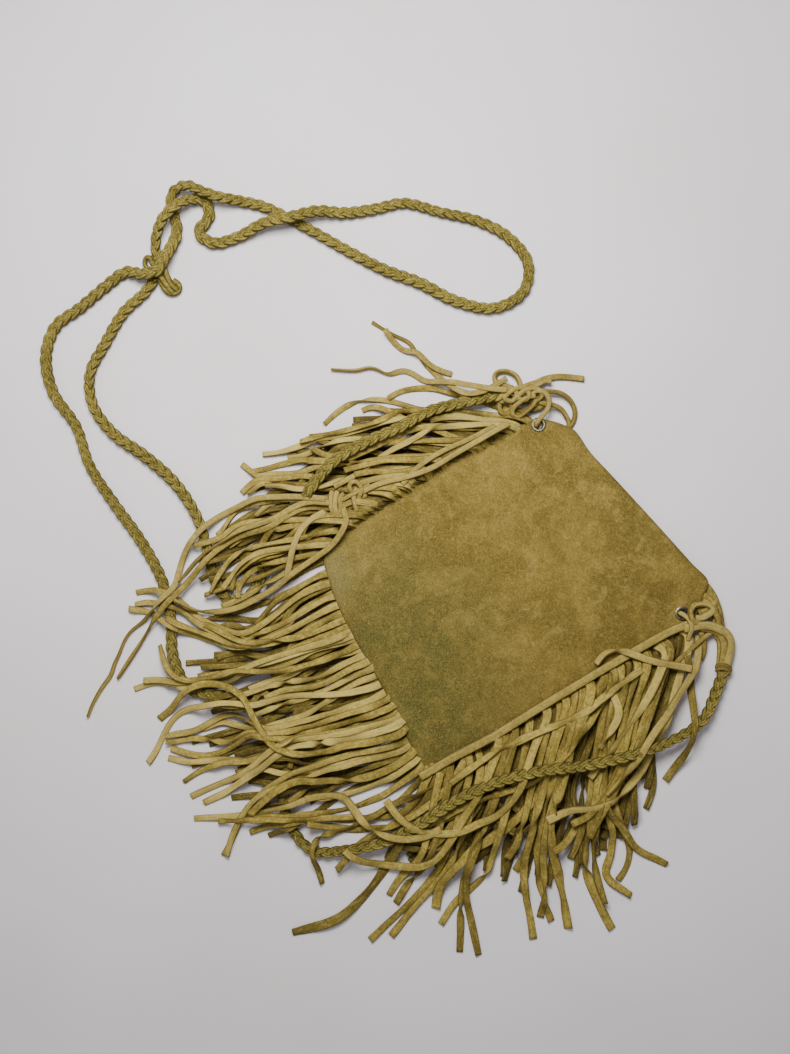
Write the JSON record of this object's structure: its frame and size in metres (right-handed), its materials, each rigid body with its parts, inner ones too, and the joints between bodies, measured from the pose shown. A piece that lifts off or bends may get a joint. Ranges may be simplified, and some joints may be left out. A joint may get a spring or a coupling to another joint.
{
  "type": "fringed suede shoulder pouch",
  "caption": "Flat suede shoulder pouch with a lifting mouth edge, eyelets at the mouth corners, fringed seams, lace knots and a long plaited strap.",
  "frame": {"origin": "centre of the back panel's flat resting face, on the table", "axes": "+Z out of the front panel, up from the table; +Y towards the mouth; +X towards the side seam with the edge lace"},
  "size_m": [0.5726, 0.4248, 0.0205],
  "materials": {
    "suede_front": "mustard olive suede, napped and mottled",
    "suede_back": "mustard olive suede",
    "suede_fringe": "cut suede strips, paler on the flesh side",
    "suede_lace": "soft rounded suede lace",
    "braid": "plaited suede lace, fuzzy",
    "thread": "waxed thread",
    "eyelet_metal": "worn nickel"
  },
  "bodies": {
    "pouch": {"front_panel": "suede_front", "back_panel": "suede_back", "seam_stitches": "thread", "left_fringe_upper": "suede_fringe", "left_fringe_lower": "suede_fringe", "bottom_fringe_upper": "suede_fringe", "bottom_fringe_lower": "suede_fringe", "right_fringe_upper": "suede_fringe", "right_fringe_lower": "suede_fringe", "left_eyelet": "eyelet_metal", "left_washer": "eyelet_metal", "right_eyelet": "eyelet_metal", "right_washer": "eyelet_metal", "left_anchor_loop": "suede_lace", "right_anchor_loop": "suede_lace", "left_knot": "suede_lace", "right_knot": "suede_lace", "strap_braid": "braid", "tassel_knot": "suede_lace", "tassel_strands": "suede_lace", "left_laces": "suede_lace", "left_tails": "suede_lace", "right_edge_lace": "suede_lace", "right_tails": "suede_lace"},
    "mouth_lip": {"front_mouth_lip": "suede_front"}
  },
  "joints": [
    {"name": "mouth_open", "type": "hinge", "parent": "pouch", "child": "mouth_lip", "pos_m": [0, 0.038, 0.01195], "axis": [1, 0, 0], "range_deg": [0, 30]}
  ]
}
